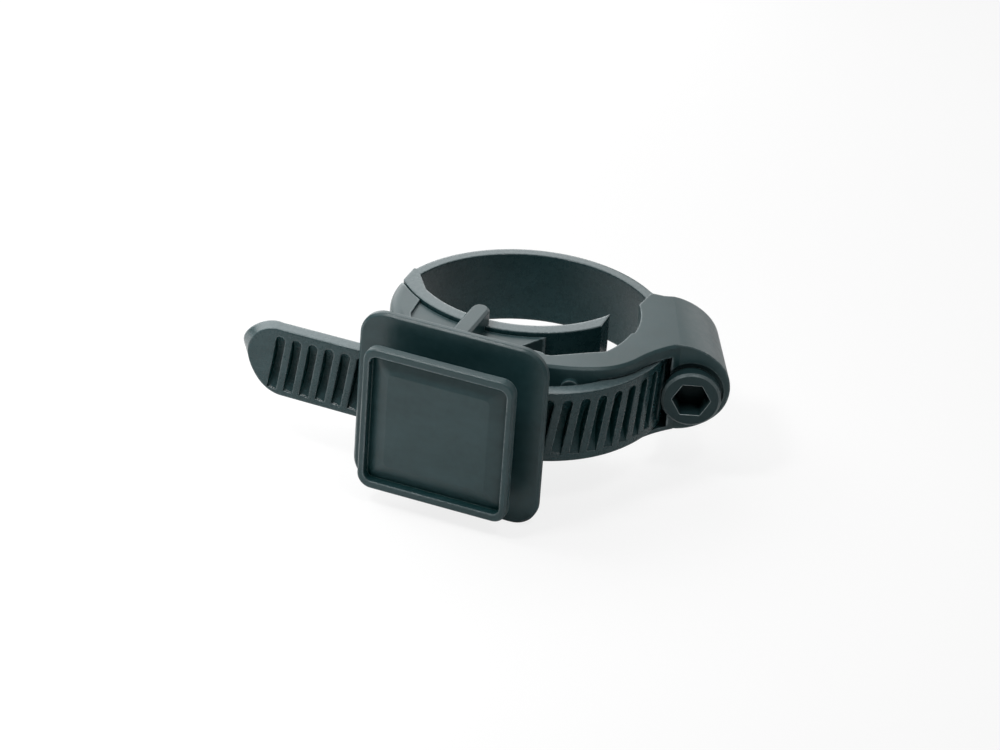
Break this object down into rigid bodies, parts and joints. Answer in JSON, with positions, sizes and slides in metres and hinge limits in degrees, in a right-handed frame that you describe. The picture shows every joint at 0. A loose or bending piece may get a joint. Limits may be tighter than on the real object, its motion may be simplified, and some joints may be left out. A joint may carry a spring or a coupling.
{
  "type": "handlebar bag mount",
  "caption": "Clamp bracket for a bicycle handlebar: a worm-driven slotted strap closes on the bar, and a square undercut plate carries a bag.",
  "frame": {"origin": "centre of the round back of the strap's loop, at half the strap's width", "axes": "+Z along the bar that the loop closes on, -Y the way the bag plate faces, +X towards the worm housing"},
  "size_m": [0.0555, 0.0401, 0.0234],
  "materials": {
    "bracket_plastic": "fine moulded texture",
    "strap_plastic": "fine moulded texture",
    "screw_steel": "black satin",
    "clip_steel": "spring steel"
  },
  "bodies": {
    "frame": {"bracket": "bracket_plastic", "strap": "strap_plastic"},
    "worm": {"worm_screw": "screw_steel", "retaining_clip": "clip_steel"}
  },
  "joints": [
    {"name": "worm_turn", "type": "hinge", "parent": "frame", "child": "worm", "pos_m": [0.01866, 0.00705, 0], "axis": [0.3535, -0.9354, 0], "continuous": true, "deforming": ["strap"]}
  ]
}
